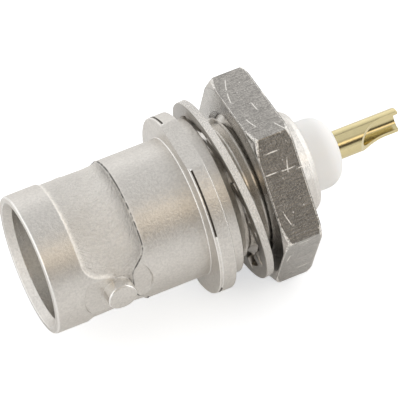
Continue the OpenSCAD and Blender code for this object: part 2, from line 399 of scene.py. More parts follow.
@dataclass(frozen=True)
class SatinNickel:
    """Dull nickel plate on turned brass.

    The plate keeps a fine even grain that breaks highlights into a soft sparkle, and under it the
    lathe's rings, which draw reflections out along the barrel.

    Args:
        name: The finish's name.
        base: Colour of the plate.
        roughness: How far the plate spreads reflections.
        grain: Size of the grain in millimetres.
        height: Depth of the grain in millimetres.
        mottle: How much darker the plate is between the grains, from 0 to 1.
        ring: Spacing of the lathe's rings in millimetres.
        marks: Depth of those rings in millimetres.
        chatter: Depth of the end mill's arcs in millimetres, 0 for none; a depth also brings a
            painted shade line and a painted highlight.
        chatter_pitch: Spacing of those arcs in millimetres.
        chatter_radius: Radius of those arcs in millimetres.
        chatter_middle: Place of the mill's centre line, from the mouth.
    """

    name: str
    base: str = "E6E2DC"
    roughness: float = 0.34
    grain: float = 0.17
    height: float = 0.04
    mottle: float = 0.16
    ring: float = 0.16
    marks: float = 0.003
    chatter: float = 0.0
    chatter_pitch: float = 0.3
    chatter_radius: float = 2.35
    chatter_middle: float = 4.45

    def build(self) -> bpy.types.Material:
        """Makes the material."""
        material, shader, place = surface(self.name, Metallic=1.0)
        tree = material.node_tree
        patch = add_node(tree, "ShaderNodeTexNoise", Vector=place, Scale=0.7, Detail=3.0)
        tone = add_node(
            tree,
            "ShaderNodeMix",
            {"data_type": "RGBA"},
            i0=patch.outputs["Fac"],
            i6=colour(self.base),
            i7=tuple(c * 0.9 for c in colour(self.base)[:3]) + (1.0,),
        )
        speck = add_node(
            tree,
            "ShaderNodeTexNoise",
            Vector=place,
            Scale=1 / self.grain,
            Detail=3.0,
            Roughness=0.7,
        )
        shade = add_node(
            tree,
            "ShaderNodeMapRange",
            Value=speck.outputs["Fac"],
            From_Min=0.35,
            From_Max=0.65,
            To_Min=1 - self.mottle,
        )
        base = add_node(
            tree,
            "ShaderNodeVectorMath",
            {"operation": "SCALE"},
            i0=tone.outputs[2],
            Scale=shade.outputs["Result"],
        )
        spread = add_node(
            tree,
            "ShaderNodeMapRange",
            Value=patch.outputs["Fac"],
            To_Min=self.roughness - 0.04,
            To_Max=self.roughness + 0.04,
        )
        tree.links.new(spread.outputs["Result"], shader.inputs["Roughness"])
        bump = add_node(
            tree,
            "ShaderNodeBump",
            Height=speck.outputs["Fac"],
            Distance=self.height * MM,
        )
        split = add_node(tree, "ShaderNodeSeparateXYZ", Vector=place)
        radius = add_node(
            tree,
            "ShaderNodeVectorMath",
            {"operation": "LENGTH"},
            i0=add_node(
                tree, "ShaderNodeVectorMath", {"operation": "MULTIPLY"}, i0=place, i1=(0, 1, 1)
            ).outputs[0],
        )
        rings = add_node(
            tree,
            "ShaderNodeTexNoise",
            {"noise_dimensions": "2D"},
            Vector=add_node(
                tree, "ShaderNodeCombineXYZ", X=split.outputs["X"], Y=radius.outputs["Value"]
            ).outputs[0],
            Scale=1 / self.ring,
            Detail=2.0,
        )
        bump = add_node(
            tree,
            "ShaderNodeBump",
            Height=rings.outputs["Fac"],
            Distance=self.marks * MM,
            Normal=bump.outputs[0],
        )
        if self.chatter:
            bump, base = self.add_chatter(tree, bump, base)
        tree.links.new(base.outputs[0], shader.inputs["Base Color"])
        tree.links.new(bump.outputs[0], shader.inputs["Normal"])
        return material

    def add_chatter(
        self, tree: bpy.types.NodeTree, under: bpy.types.Node, base: bpy.types.Node
    ) -> tuple[bpy.types.Node, bpy.types.Node]:
        """Adds the arcs that an end mill leaves, a painted shade line along the rear step where
        the mill leaves the barrel, and a painted highlight on the front ramp.

        Args:
            tree: The material's node tree.
            under: The bump that the arcs lie on.
            base: The plate's colour.

        Returns:
            The new bump and the new colour.
        """
        unrolled = add_node(tree, "ShaderNodeUVMap", {"uv_map": "unrolled"})
        inset = add_node(tree, "ShaderNodeAttribute", {"attribute_name": "inset"}).outputs["Fac"]
        split = add_node(tree, "ShaderNodeSeparateXYZ", Vector=unrolled.outputs[0])

        def span(value: bpy.types.NodeSocket, start: float, end: float) -> bpy.types.NodeSocket:
            """A share that goes from 0 at one value to 1 at another."""
            return add_node(
                tree, "ShaderNodeMapRange", Value=value, From_Min=start, From_Max=end
            ).outputs["Result"]

        def calc(operation: str, *values: Any) -> bpy.types.NodeSocket:
            """One arithmetic step on the arcs' coordinates."""
            named = {f"i{index}": value for index, value in enumerate(values)}
            return add_node(tree, "ShaderNodeMath", {"operation": operation}, **named).outputs[0]

        aside = calc("SUBTRACT", split.outputs["Y"], self.chatter_middle)
        square = calc("SUBTRACT", self.chatter_radius**2, calc("MULTIPLY", aside, aside))
        bow = calc("SQRT", calc("MAXIMUM", square, 0.02))
        stage = calc("ADD", split.outputs["X"], bow)
        arcs = add_node(
            tree,
            "ShaderNodeTexNoise",
            {"noise_dimensions": "2D"},
            Vector=add_node(
                tree,
                "ShaderNodeCombineXYZ",
                X=calc("DIVIDE", stage, self.chatter_pitch),
                Y=calc("MULTIPLY", split.outputs["Y"], 0.35),
            ).outputs[0],
            Scale=1.6,
            Detail=4.0,
            Roughness=0.75,
        )
        rearward = span(split.outputs["Y"], 4.6, 6.2)
        near_rear = calc("MULTIPLY", span(inset, 0.9, 0.1), rearward)
        force = calc(
            "MULTIPLY", span(inset, 0.0, 0.15), calc("MULTIPLY_ADD", near_rear, 1.8, 1.0)
        )
        bump = add_node(
            tree,
            "ShaderNodeBump",
            Height=calc("MULTIPLY", calc("SUBTRACT", arcs.outputs["Fac"], 0.5), force),
            Distance=self.chatter * MM,
            Normal=under.outputs[0],
        )
        # A dark line painted along the relief's rear edge is painted shade for the step, broken up
        # by noise.
        off_line = calc("ABSOLUTE", calc("SUBTRACT", inset, 0.01))
        shade_line_breaks = add_node(
            tree,
            "ShaderNodeTexNoise",
            {"noise_dimensions": "2D"},
            Vector=unrolled.outputs[0],
            Scale=1.7,
        )
        line = calc("MULTIPLY", span(off_line, 0.055, 0.025), span(split.outputs["Y"], 5.0, 5.6))
        line = calc("MULTIPLY", line, span(shade_line_breaks.outputs["Fac"], 0.3, 0.5))
        # A lighter band painted on the front ramp is a painted highlight.
        ramp = calc("MULTIPLY", span(inset, -0.02, 0.05), span(inset, 0.34, 0.16))
        ramp = calc("MULTIPLY", ramp, span(split.outputs["Y"], 4.6, 3.6))
        shade = calc("ADD", calc("MULTIPLY_ADD", line, -0.8, 1.0), calc("MULTIPLY", ramp, 0.3))
        colour_now = add_node(
            tree, "ShaderNodeVectorMath", {"operation": "SCALE"}, i0=base.outputs[0], Scale=shade
        )
        return bump, colour_now


class Stroke(Enum):
    """Direction of a worn stroke on an unrolled part: half its width round and along the part."""

    ROUND = (0.42, 0.035)
    ALONG = (0.035, 0.4)


@dataclass(frozen=True)
class BrightNickel:
    """Bright nickel plate on a milled part that has been handled.

    It mirrors dark and light like a dull mirror. Fine pits and the cutter's lines across the flats
    break that up, and knocks leave short pale strokes and pinholes. Its edges are painted pale,
    partly as rubbed wear and partly as a painted highlight.

    Args:
        name: The finish's name.
        base: Colour of the plate.
        worn: Colour of the strokes and pinholes, and of the edges' wear and painted highlight.
        roughness: How far the plate spreads reflections.
        pit: Size of the pits in millimetres.
        height: Depth of the pits in millimetres.
        mottle: How much darker the plate is in its pits, from 0 to 1.
        brushed: Depth of the cutter's lines in millimetres.
        cell: Distance between the strokes in millimetres.
        share: Share of those places that have a stroke, from 0 to 1.
    """

    name: str
    base: str = "C4C0BA"
    worn: str = "F4F1EC"
    roughness: float = 0.24
    pit: float = 0.11
    height: float = 0.02
    mottle: float = 0.4
    brushed: float = 0.012
    cell: float = 1.15
    share: float = 0.3

    def build(self) -> bpy.types.Material:
        """Makes the material."""
        material, shader, place = surface(self.name, Metallic=1.0)
        tree = material.node_tree
        unrolled = add_node(tree, "ShaderNodeUVMap", {"uv_map": "unrolled"}).outputs[0]

        def calc(operation: str, *values: Any) -> bpy.types.NodeSocket:
            """One arithmetic step."""
            named = {f"i{index}": value for index, value in enumerate(values)}
            return add_node(tree, "ShaderNodeMath", {"operation": operation}, **named).outputs[0]

        def span(value: bpy.types.NodeSocket, start: float, end: float) -> bpy.types.NodeSocket:
            """A share that goes from 0 at one value to 1 at another."""
            return add_node(
                tree, "ShaderNodeMapRange", Value=value, From_Min=start, From_Max=end
            ).outputs["Result"]

        def noise(size: float, detail: float = 3.0) -> bpy.types.NodeSocket:
            """A cloudy pattern of one size in millimetres."""
            return add_node(
                tree,
                "ShaderNodeTexNoise",
                Vector=place,
                Scale=1 / size,
                Detail=detail,
                Roughness=0.7,
            ).outputs["Fac"]

        pits, patches = noise(self.pit), noise(1.1)
        lines = add_node(
            tree,
            "ShaderNodeTexNoise",
            {"noise_dimensions": "2D"},
            Vector=add_node(
                tree, "ShaderNodeMapping", Vector=unrolled, Scale=(9.0, 0.8, 1)
            ).outputs[0],
            Scale=1.0,
            Detail=2.0,
        ).outputs["Fac"]
        specks = add_node(
            tree, "ShaderNodeTexVoronoi", {"voronoi_dimensions": "3D"}, Vector=place, Scale=2.2
        )
        holes = calc(
            "MULTIPLY",
            span(specks.outputs["Distance"], 0.15, 0.07),
            span(specks.outputs["Color"], 0.35, 0.45),
        )
        worn = calc("MULTIPLY", holes, 0.6)
        if self.share:
            for way, offset in ((Stroke.ROUND, 3.1), (Stroke.ALONG, 7.7)):
                worn = calc("MAXIMUM", worn, self.strokes(tree, unrolled, way, offset, pits))
        # Edges marked in the edge attribute are painted pale: partly rubbed wear, partly a painted
        # highlight.
        edge = add_node(tree, "ShaderNodeAttribute", {"attribute_name": "edge"}).outputs["Fac"]
        rubbed_and_highlit_edge = calc("MULTIPLY", span(edge, 0.3, 0.8), span(pits, 0.38, 0.52))
        worn = calc("MAXIMUM", worn, rubbed_and_highlit_edge)
        shade = calc("MULTIPLY_ADD", span(pits, 0.62, 0.38), -self.mottle, 1.0)
        shade = calc("MULTIPLY", shade, calc("MULTIPLY_ADD", span(patches, 0.6, 0.4), -0.12, 1.0))
        shade = calc("MULTIPLY", shade, calc("MULTIPLY_ADD", span(lines, 0.65, 0.4), -0.16, 1.0))
        plain = add_node(
            tree,
            "ShaderNodeVectorMath",
            {"operation": "SCALE"},
            i0=colour(self.base)[:3],
            Scale=shade,
        )
        tone = add_node(
            tree,
            "ShaderNodeMix",
            {"data_type": "RGBA"},
            i0=worn,
            i6=plain.outputs[0],
            i7=colour(self.worn),
        )
        tree.links.new(tone.outputs[2], shader.inputs["Base Color"])
        spread = add_node(
            tree, "ShaderNodeMapRange", Value=worn, To_Min=self.roughness, To_Max=0.6
        )
        tree.links.new(spread.outputs["Result"], shader.inputs["Roughness"])
        bump = add_node(tree, "ShaderNodeBump", Height=pits, Distance=self.height * MM)
        bump = add_node(
            tree,
            "ShaderNodeBump",
            Height=lines,
            Distance=self.brushed * MM,
            Normal=bump.outputs[0],
        )
        tree.links.new(bump.outputs[0], shader.inputs["Normal"])
        return material

    def strokes(
        self,
        tree: bpy.types.NodeTree,
        place: bpy.types.NodeSocket,
        way: Stroke,
        offset: float,
        rough: bpy.types.NodeSocket,
    ) -> bpy.types.NodeSocket:
        """Scatters short straight worn strokes in one direction.

        Args:
            tree: The material's node tree.
            place: Unrolled coordinates in millimetres.
            way: Direction and size of the strokes.
            offset: Shift that keeps two directions apart.
            rough: Pattern that breaks the strokes up.

        Returns:
            A socket that is 1 on a stroke and 0 off it.
        """
        moved = add_node(tree, "ShaderNodeMapping", Vector=place, Location=(offset, offset, 0))
        cells = add_node(
            tree,
            "ShaderNodeTexVoronoi",
            {"voronoi_dimensions": "2D"},
            Vector=moved.outputs[0],
            Scale=1 / self.cell,
            Randomness=0.8,
        )
        inside = add_node(
            tree,
            "ShaderNodeVectorMath",
            {"operation": "SUBTRACT"},
            i0=moved.outputs[0],
            i1=cells.outputs["Position"],
        )
        shares = add_node(
            tree,
            "ShaderNodeVectorMath",
            {"operation": "DIVIDE"},
            i0=add_node(
                tree, "ShaderNodeVectorMath", {"operation": "ABSOLUTE"}, i0=inside.outputs[0]
            ).outputs[0],
            i1=(*way.value, 1.0),
        )
        split = add_node(tree, "ShaderNodeSeparateXYZ", Vector=shares.outputs[0])
        far = add_node(
            tree,
            "ShaderNodeMath",
            {"operation": "MAXIMUM"},
            i0=split.outputs[0],
            i1=split.outputs[1],
        )
        ragged = add_node(
            tree,
            "ShaderNodeMath",
            {"operation": "MULTIPLY_ADD"},
            i0=rough,
            i1=3.0,
            i2=far.outputs[0],
        )
        stroke = add_node(
            tree, "ShaderNodeMapRange", Value=ragged.outputs[0], From_Min=2.7, From_Max=2.2
        )
        chosen = add_node(
            tree,
            "ShaderNodeMath",
            {"operation": "LESS_THAN"},
            i0=cells.outputs["Color"],
            i1=self.share,
        )
        return add_node(
            tree,
            "ShaderNodeMath",
            {"operation": "MULTIPLY"},
            i0=stroke.outputs["Result"],
            i1=chosen.outputs[0],
        ).outputs[0]


@dataclass(frozen=True)
class Fluoroplastic:
    """White PTFE, turned.

    Light goes a little way into it, so its edges glow softly and its shine is waxy.

    Args:
        name: The finish's name.
        base: Colour of the plastic.
    """

    name: str
    base: str = "FBFBFA"

    def build(self) -> bpy.types.Material:
        """Makes the material."""
        material, shader, place = surface(
            self.name,
            Roughness=0.42,
            IOR=1.36,
            Subsurface_Weight=0.35,
            Subsurface_Radius=(1.0, 0.9, 0.8),
            Subsurface_Scale=0.9 * MM,
        )
        tree = material.node_tree
        cloud = add_node(tree, "ShaderNodeTexNoise", Vector=place, Scale=0.8, Detail=2.0)
        tone = add_node(
            tree,
            "ShaderNodeMix",
            {"data_type": "RGBA"},
            i0=cloud.outputs["Fac"],
            i6=colour(self.base),
            i7=tuple(c * 0.96 for c in colour(self.base)[:3]) + (1.0,),
        )
        tree.links.new(tone.outputs[2], shader.inputs["Base Color"])
        split = add_node(tree, "ShaderNodeSeparateXYZ", Vector=place)
        rings = add_node(
            tree,
            "ShaderNodeTexNoise",
            {"noise_dimensions": "1D"},
            W=split.outputs["X"],
            Scale=6.0,
            Detail=2.0,
        )
        bump = add_node(tree, "ShaderNodeBump", Height=rings.outputs["Fac"], Distance=0.003 * MM)
        tree.links.new(bump.outputs[0], shader.inputs["Normal"])
        return material


@dataclass(frozen=True)
class GoldPlate:
    """Bright gold plate on a turned contact.

    It mirrors its surroundings in sharp lines along the contact, which a fine grain softens.

    Args:
        name: The finish's name.
        base: Colour of the plate.
        roughness: How far the plate spreads reflections.
    """

    name: str
    base: str = "E4D6A6"
    roughness: float = 0.13

    def build(self) -> bpy.types.Material:
        """Makes the material."""
        material, shader, place = surface(self.name, Metallic=1.0)
        tree = material.node_tree
        cloud = add_node(tree, "ShaderNodeTexNoise", Vector=place, Scale=2.2, Detail=3.0)
        tone = add_node(
            tree,
            "ShaderNodeMix",
            {"data_type": "RGBA"},
            i0=cloud.outputs["Fac"],
            i6=colour(self.base),
            i7=tuple(c * 0.88 for c in colour(self.base)[:3]) + (1.0,),
        )
        tree.links.new(tone.outputs[2], shader.inputs["Base Color"])
        spread = add_node(
            tree,
            "ShaderNodeMapRange",
            Value=cloud.outputs["Fac"],
            To_Min=self.roughness - 0.03,
            To_Max=self.roughness + 0.05,
        )
        tree.links.new(spread.outputs["Result"], shader.inputs["Roughness"])
        grain = add_node(tree, "ShaderNodeTexNoise", Vector=place, Scale=7.0, Detail=3.0)
        bump = add_node(tree, "ShaderNodeBump", Height=grain.outputs["Fac"], Distance=0.004 * MM)
        tree.links.new(bump.outputs[0], shader.inputs["Normal"])
        return material


# --------------------------------------------------------------------------------------------
# The connector's pieces
# --------------------------------------------------------------------------------------------


def side_angle(y: float, z: float) -> float:
    """Angle of a point round the axis, from -Y towards +Z, in radians."""
    return math.atan2(z, -y)


def unroll(piece: bpy.types.Object, start: float, radius: float) -> None:
    """Lays the piece's skin out flat in a UV map, in millimetres round and along it.

    Args:
        piece: The piece, in metres.
        start: Place along the axis that becomes 0, in millimetres.
        radius: Radius at which the distance round the axis is measured, in millimetres.
    """
    layer = piece.data.uv_layers.new(name="unrolled")
    for face in piece.data.polygons:
        places = [piece.data.vertices[index].co / MM for index in face.vertices]
        angles = [side_angle(place.y, place.z) for place in places]
        if max(angles) - min(angles) > math.pi:
            angles = [angle + math.tau if angle < 0 else angle for angle in angles]
        for loop, place, angle in zip(face.loop_indices, places, angles):
            aside = radius - math.hypot(place.y, place.z)
            layer.data[loop].uv = (angle * radius, place.x - start + aside)


def seat(
    piece: bpy.types.Object,
    node: str,
    body: str,
    slot: str,
    *finishes: bpy.types.Material,
) -> bpy.types.Object:
    """Dresses a piece and puts it in its solid's place.

    Args:
        piece: The finished piece.
        node: The solid that the piece stands for.
        body: The body that the piece moves with.
        slot: The record's material slot, which is not used.
        *finishes: The piece's materials in the order of its face indices.

    Returns:
        The piece.
    """
    for finish in finishes:
        piece.data.materials.append(finish)
    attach(piece, body)
    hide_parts(node)
    LOG.info("%s: %d faces, on %s", piece.name, len(piece.data.polygons), body)
    return piece


@dataclass
class Relief:
    """One shallow band that an end mill leaves across the barrel, in millimetres.

    It runs down to the neck of the bayonet lug. In front it ends in a plain ramp, and behind in a
    small torn step.
    """

    start: float = 2.34
    length: float = 4.33
    half_arc: float = math.radians(72)
    corner: float = 1.4
    shallow: float = 0.13
    deep: float = 0.19
    ramp: float = 0.17
    corner_ramp: float = 0.36
    step: float = 0.05
    step_share: float = 0.4
    run_in: float = 1.3
    burr: float = 0.025
    neck: float = 4.85
    neck_half: float = 0.72
    neck_blend: float = 0.9

    def inset(self, along: float, aside: float, radius: float) -> float:
        """How far inside the relief's outline a point lies, below 0 outside it.

        Args:
            along: Distance from the mouth.
            aside: Angle from the middle of the relief, in radians.
            radius: Radius of the barrel.

        Returns:
            The distance in millimetres.
        """
        middle = self.start + self.length / 2
        over_x = abs(along - middle) - (self.length / 2 - self.corner)
        over_s = (abs(aside) - self.half_arc) * radius + self.corner
        outside = math.hypot(max(over_x, 0.0), max(over_s, 0.0)) + min(max(over_x, over_s), 0.0)
        band = self.corner - outside
        neck = min(self.neck_half - abs(along - self.neck), over_s + self.corner)
        reach = max(self.neck_blend - abs(band - neck), 0.0) / self.neck_blend
        return max(band, neck) + reach**2 * self.neck_blend / 4

    def depth(self, along: float, aside: float, radius: float) -> float:
        """How far the barrel's surface drops at a point.

        Args:
            along: Distance from the mouth.
            aside: Angle from the middle of the relief, in radians.
            radius: Radius of the barrel.

        Returns:
            The drop in millimetres, below 0 on the burr.
        """
        inside = self.inset(along, aside, radius)
        middle = self.start + self.length / 2
        rearward = ease((along - middle) / self.length + 0.5)
        rear_side = ease((along - middle) / (0.7 * self.length))
        if inside <= 0.0:
            return -self.burr * rear_side * ease(1 + inside / 0.12)
        floor = self.shallow + (self.deep - self.shallow) * rearward
        low = ease(1 + ((abs(aside) - self.half_arc) * radius + 0.4) / 1.4)
        front = ease(inside / (self.ramp + (self.corner_ramp - self.ramp) * low))
        rear = self.step_share * ease(inside / self.step)
        rear += (1 - self.step_share) * min(1.0, inside / self.run_in)
        return floor * (front + (rear - front) * rear_side)


@dataclass
class Lug:
    """One bayonet lug and the flat that a hollow mill clears round it, in millimetres."""

    along: float = 4.44
    radius: float = 1.025
    tip: float = 5.5
    floor: float = 4.605
    clearing: float = 2.44
    wall: float = 0.07
    fillet: float = 0.05
    edge: float = 0.13
    root: float = 4.3

    def build(self, x: float, side: int) -> bmesh.types.BMesh:
        """Makes the lug.

        Args:
            x: Place of its middle along the axis.
            side: -1 for the lug at -Y, 1 for the one at +Y.

        Returns:
            A closed mesh in millimetres.
        """
        base = self.floor + 0.012
        skirt = self.radius + 1.15 * self.fillet
        corners = [
            Corner(self.root, 0.0),
            Corner(self.root, skirt),
            Corner(base - 0.04, skirt),
            Corner(base, skirt - 0.02),
            Corner(base, self.radius, self.fillet),
            Corner(self.tip, self.radius, self.edge),
            Corner(self.tip, 0.6 * self.radius),
            Corner(self.tip, 0.3 * self.radius),
            Corner(self.tip, 0.0),
        ]
        mesh = turned(rounded_profile(corners, Sweep.POST, 8), Sweep.POST, 96)
        top = self.tip - 2 * self.edge
        for vert in mesh.verts:
            if vert.co.x > top:
                vert.co.x -= self.tip - math.sqrt(self.tip**2 - vert.co.z**2)
        bmesh.ops.rotate(
            mesh,
            verts=mesh.verts,
            cent=(0, 0, 0),
            matrix=Matrix.Rotation(side * math.pi / 2, 3, "Z"),
        )
        bmesh.ops.translate(mesh, verts=mesh.verts, vec=(x, 0, 0))
        return mesh


@dataclass
class Shell:
    """The nickel-plated shell: barrel, lugs, flange, collar, threaded tail and rolled spigot."""

    barrel: float = 4.825
    bore: float = 4.05
    bore_depth: float = 8.4
    lead_in: tuple[float, float] = (0.6, 0.34)
    flange: float = 6.22
    flange_front: float = -2.1
    flange_rear: float = -0.9
    flats: float = 5.8
    collar: float = 5.42
    thread_root: float = 4.28
    thread_crest: float = 4.7625
    pitch: float = 0.79375
    thread_start: float = 0.35
    tail: float = 5.3
    spigot: float = 3.55
    roll: tuple[float, float] = (0.25, 0.36)
    lip: float = 0.45
    nose_hole: float = 2.49
    cavity: float = 3.1
    cavity_front: float = -3.9
    stop: float = 2.8
    steps: int = 296
    row: float = 0.0947
    groove: tuple[float, float, float] = (0.2, 0.07, 0.05)
    relief: Relief = field(default_factory=Relief)
    lug: Lug = field(default_factory=Lug)

    def profile(self, mouth: float, end: float) -> list[Vector]:
        """Draws the shell's half section as a closed loop.

        Args:
            mouth: Place of the mouth along the axis.
            end: Place of the spigot's end.

        Returns:
            The section's points.
        """
        rows = [2.0 + self.row * row for row in range(54)]
        place, width, depth = self.groove
        place += self.flange_front
        corners = [
            Corner(mouth, self.bore + self.lead_in[1], 0.08),
            Corner(mouth, self.barrel, 0.2),
            *[Corner(mouth + row, self.barrel) for row in (0.6, 1.2, *rows, 8.0, 9.4)],
            Corner(self.flange_front, self.barrel, 0.08),
            Corner(self.flange_front, self.flange, 0.1),
            Corner(place - width, self.flange),
            Corner(place, self.flange - depth),
            Corner(place + width, self.flange),
            Corner(self.flange_rear, self.flange, 0.08),
            Corner(self.flange_rear, self.collar, 0.03),
            Corner(0.0, self.collar, 0.08),
            Corner(0.0, self.thread_root, 0.05),
            Corner(self.tail, self.thread_root, 0.12),
            Corner(self.tail, self.spigot + self.roll[0], 0.1),
            Corner(end - self.roll[1], self.spigot, 0.3),
            Corner(end, self.spigot - 0.7 * self.roll[1], 0.25),
            Corner(end, self.nose_hole, 0.06),
            Corner(end - self.lip, self.nose_hole),
            Corner(end - self.lip, self.cavity),
            Corner(self.cavity_front, self.cavity),
            Corner(self.cavity_front, self.stop),
            Corner(mouth + self.bore_depth, self.stop, 0.05),
            Corner(mouth + self.bore_depth, self.bore, 0.1),
            Corner(mouth + self.lead_in[0], self.bore, 0.1),
        ]
        return rounded_profile(corners, Sweep.RING, 6)

    def on_barrel(self, vert: bmesh.types.BMVert, mouth: float) -> bool:
        """Whether a point of the turned shell lies where the mills may cut the barrel."""
        radius = math.hypot(vert.co.y, vert.co.z)
        return abs(radius - self.barrel) < 0.001 and mouth + 1.5 < vert.co.x < mouth + 8.5

    def refine(self, mesh: bmesh.types.BMesh, mouth: float) -> None:
        """Makes the barrel's skin finer along the edges that the mills leave.

        Args:
            mesh: The turned shell.
            mouth: Place of the mouth along the axis.
        """
        near = set()
        for vert in mesh.verts:
            if not self.on_barrel(vert, mouth):
                continue
            x, y, z = vert.co
            aside = abs(side_angle(y, z)) - math.pi / 2
            inset = self.relief.inset(x - mouth, aside, self.barrel)
            away = math.hypot(x - mouth - self.lug.along, z) - self.lug.clearing
            if -0.17 < inset < 0.4 or (abs(away) < 0.13 and inset < 0.0):
                near.add(vert)
        edges = [edge for edge in mesh.edges if edge.verts[0] in near and edge.verts[1] in near]
        bmesh.ops.subdivide_edges(mesh, edges=edges, cuts=2, use_grid_fill=True)

    def mill(self, mesh: bmesh.types.BMesh, mouth: float) -> None:
        """Moves the barrel's skin to where the mills leave it.

        Args:
            mesh: The turned shell.
            mouth: Place of the mouth along the axis.
        """
        middle = mouth + self.lug.along
        layer = mesh.verts.layers.float.new("inset")
        for vert in mesh.verts:
            x, y, z = vert.co
            radius = math.hypot(y, z)
            vert[layer] = -1.0
            if self.flange_front - 0.01 < x < self.flange_rear + 0.01 and abs(z) > self.flats:
                vert.co.z = math.copysign(self.flats, z)
            if not self.on_barrel(vert, mouth):
                continue
            aside = abs(side_angle(y, z)) - math.pi / 2
            vert[layer] = self.relief.inset(x - mouth, aside, self.barrel)
            drop = self.relief.depth(x - mouth, aside, self.barrel)
            scale = (radius - drop) / radius
            y, z = y * scale, z * scale
            away = math.hypot(x - middle, z)
            within = ease((self.lug.clearing - away) / self.lug.wall)
            over = abs(y) - self.lug.floor
            if over > 0.0:
                y = math.copysign(abs(y) - over * within, y)
            vert.co.y, vert.co.z = y, z

    def build(self) -> bpy.types.Object:
        """Makes the shell."""
        low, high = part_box("shell")
        mouth, end = low.x / MM, high.x / MM
        mesh = turned(self.profile(mouth, end), Sweep.RING, self.steps)
        self.refine(mesh, mouth)
        self.mill(mesh, mouth)
        for side in (-1, 1):
            joined(mesh, self.lug.build(mouth + self.lug.along, side))
        turns = (self.tail - 0.3 - self.thread_start) / self.pitch
        joined(
            mesh,
            thread_ridge(
                self.thread_start, turns, self.thread_root, self.thread_crest, self.pitch, 0.0
            ),
        )
        shell = solid("jack_shell", mesh)
        self.finish_faces(shell, mouth)
        unroll(shell, mouth, self.barrel)
        smooth(shell, 35)
        return shell

    def in_groove(self, place: Vector) -> bool:
        """Whether a place lies in the groove beside the flange's flats, whose faces are painted
        dark as painted shade.
        """
        away = abs(place.x - self.flange_front - self.groove[0])
        aside = math.degrees(abs(side_angle(place.y, place.z)))
        beside_flat = 24 < aside < 68 or 112 < aside < 156
        return away < 0.9 * self.groove[1] and place.y**2 + place.z**2 > 36 and beside_flat

    def finish_faces(self, shell: bpy.types.Object, mouth: float) -> None:
        """Gives each face the index of its finish.

        It is 0 where turned, 1 milled with a painted shade line and a painted highlight, 2
        threaded, 3 on edge rounds painted lighter as rubbed wear and a painted highlight, 4 rolled
        over and 5 in the flange's groove painted dark as painted shade.

        Args:
            shell: The shell, in metres.
            mouth: Place of the mouth along the axis, in millimetres.
        """
        for face in shell.data.polygons:
            x, y, z = face.center / MM
            radius = math.hypot(y, z)
            if x > 0.02 and self.spigot + 0.05 < radius:
                face.material_index = 2
            elif x > self.tail and face.normal.x > -0.5:
                face.material_index = 4
            # The groove's faces get a dark plate: painted shade in the groove.
            elif self.in_groove(face.center / MM):
                face.material_index = 5
            elif 4.3 < radius < self.barrel + 0.03 and mouth + 2 < x < mouth + 7:
                aside = abs(side_angle(y, z)) - math.pi / 2
                if self.relief.inset(x - mouth, aside, self.barrel) > -0.1:
                    face.material_index = 1
            # Edge rounds and chamfers get a paler plate: partly rubbed wear, partly a painted
            # highlight.
            elif radius > self.bore + 0.2 and 0.3 < abs(face.normal.x) < 0.9:
                face.material_index = 3


@dataclass
class LockWasher:
    """The internal-tooth lock washer, leaning on the thread."""

    outer: float = 6.49
    ring: float = 5.55
    thickness: float = 0.55
    teeth: int = 10
    tooth_width: float = 1.9
    twist: float = math.radians(5)
    lean: float = math.radians(6.1)
    towards: float = math.radians(114.6)
    play: float = 0.05
    to_collar: float = 0.05
    collar: float = 5.42
    thread: float = 4.7625

    def middle(self) -> float:
        """Place along the axis of the middle of the washer's front face."""
        rise = self.tooth_width / 2 * math.sin(self.twist)
        return self.collar * math.tan(self.lean) + rise + self.to_collar

    def tooth(self, turn: float) -> bmesh.types.BMesh:
        """Makes one twisted tooth.

        Args:
            turn: Angle of the tooth round the ring.

        Returns:
            A mesh in millimetres.
        """
        rise = self.tooth_width / 2 * math.sin(self.twist)
        drop = (rise + self.thickness / 2) * math.sin(self.lean)
        tip = (self.thread + self.play + drop) / math.cos(self.lean)
        length = self.ring - tip + 0.3
        mesh = bmesh.new()
        bmesh.ops.create_cube(mesh, size=1.0)
        bmesh.ops.scale(
            mesh, vec=(self.thickness, self.tooth_width, length), verts=mesh.verts
        )
        bmesh.ops.bevel(
            mesh,
            geom=mesh.edges[:],
            offset=0.07,
            affect="EDGES",
            segments=3,
            profile=0.5,
            material=-1,
        )
        bmesh.ops.rotate(
            mesh, verts=mesh.verts, cent=(0, 0, 0), matrix=Matrix.Rotation(self.twist, 3, "Z")
        )
        bmesh.ops.translate(
            mesh, verts=mesh.verts, vec=(self.thickness / 2, 0, tip + length / 2)
        )
        bmesh.ops.rotate(
            mesh, verts=mesh.verts, cent=(0, 0, 0), matrix=Matrix.Rotation(turn, 3, "X")
        )
        return mesh

    def build(self) -> bpy.types.Object:
        """Makes the washer."""
        corners = [
            Corner(0.0, self.ring, 0.04),
            Corner(0.0, self.outer, 0.07),
            Corner(self.thickness, self.outer, 0.04),
            Corner(self.thickness, self.ring, 0.04),
        ]
        mesh = turned(rounded_profile(corners, Sweep.RING, 4), Sweep.RING, 288)
        for index in range(self.teeth):
            joined(mesh, self.tooth(math.tau * index / self.teeth))
        lie = Matrix.Rotation(math.pi / 2, 4, "Y")
        place = (
            lie
            @ Matrix.Translation((0, 0, self.middle()))
            @ Matrix.Rotation(-math.pi / 2 - self.towards, 4, "Z")
            @ Matrix.Rotation(self.lean, 4, "Y")
            @ lie.inverted()
        )
        for vert in mesh.verts:
            on_rim = math.hypot(vert.co.y, vert.co.z) > self.outer - 0.015
            vert.co = place @ vert.co
            vert.select_set(on_rim)
        # Every face off the rim gets the darker plate, which paints the shade between collar and
        # nut.
        for face in mesh.faces:
            face.material_index = int(all(vert.select for vert in face.verts))
        washer = solid("lock_washer_toothed", mesh)
        unroll(washer, 0.0, self.outer)
        smooth(washer)
        return washer


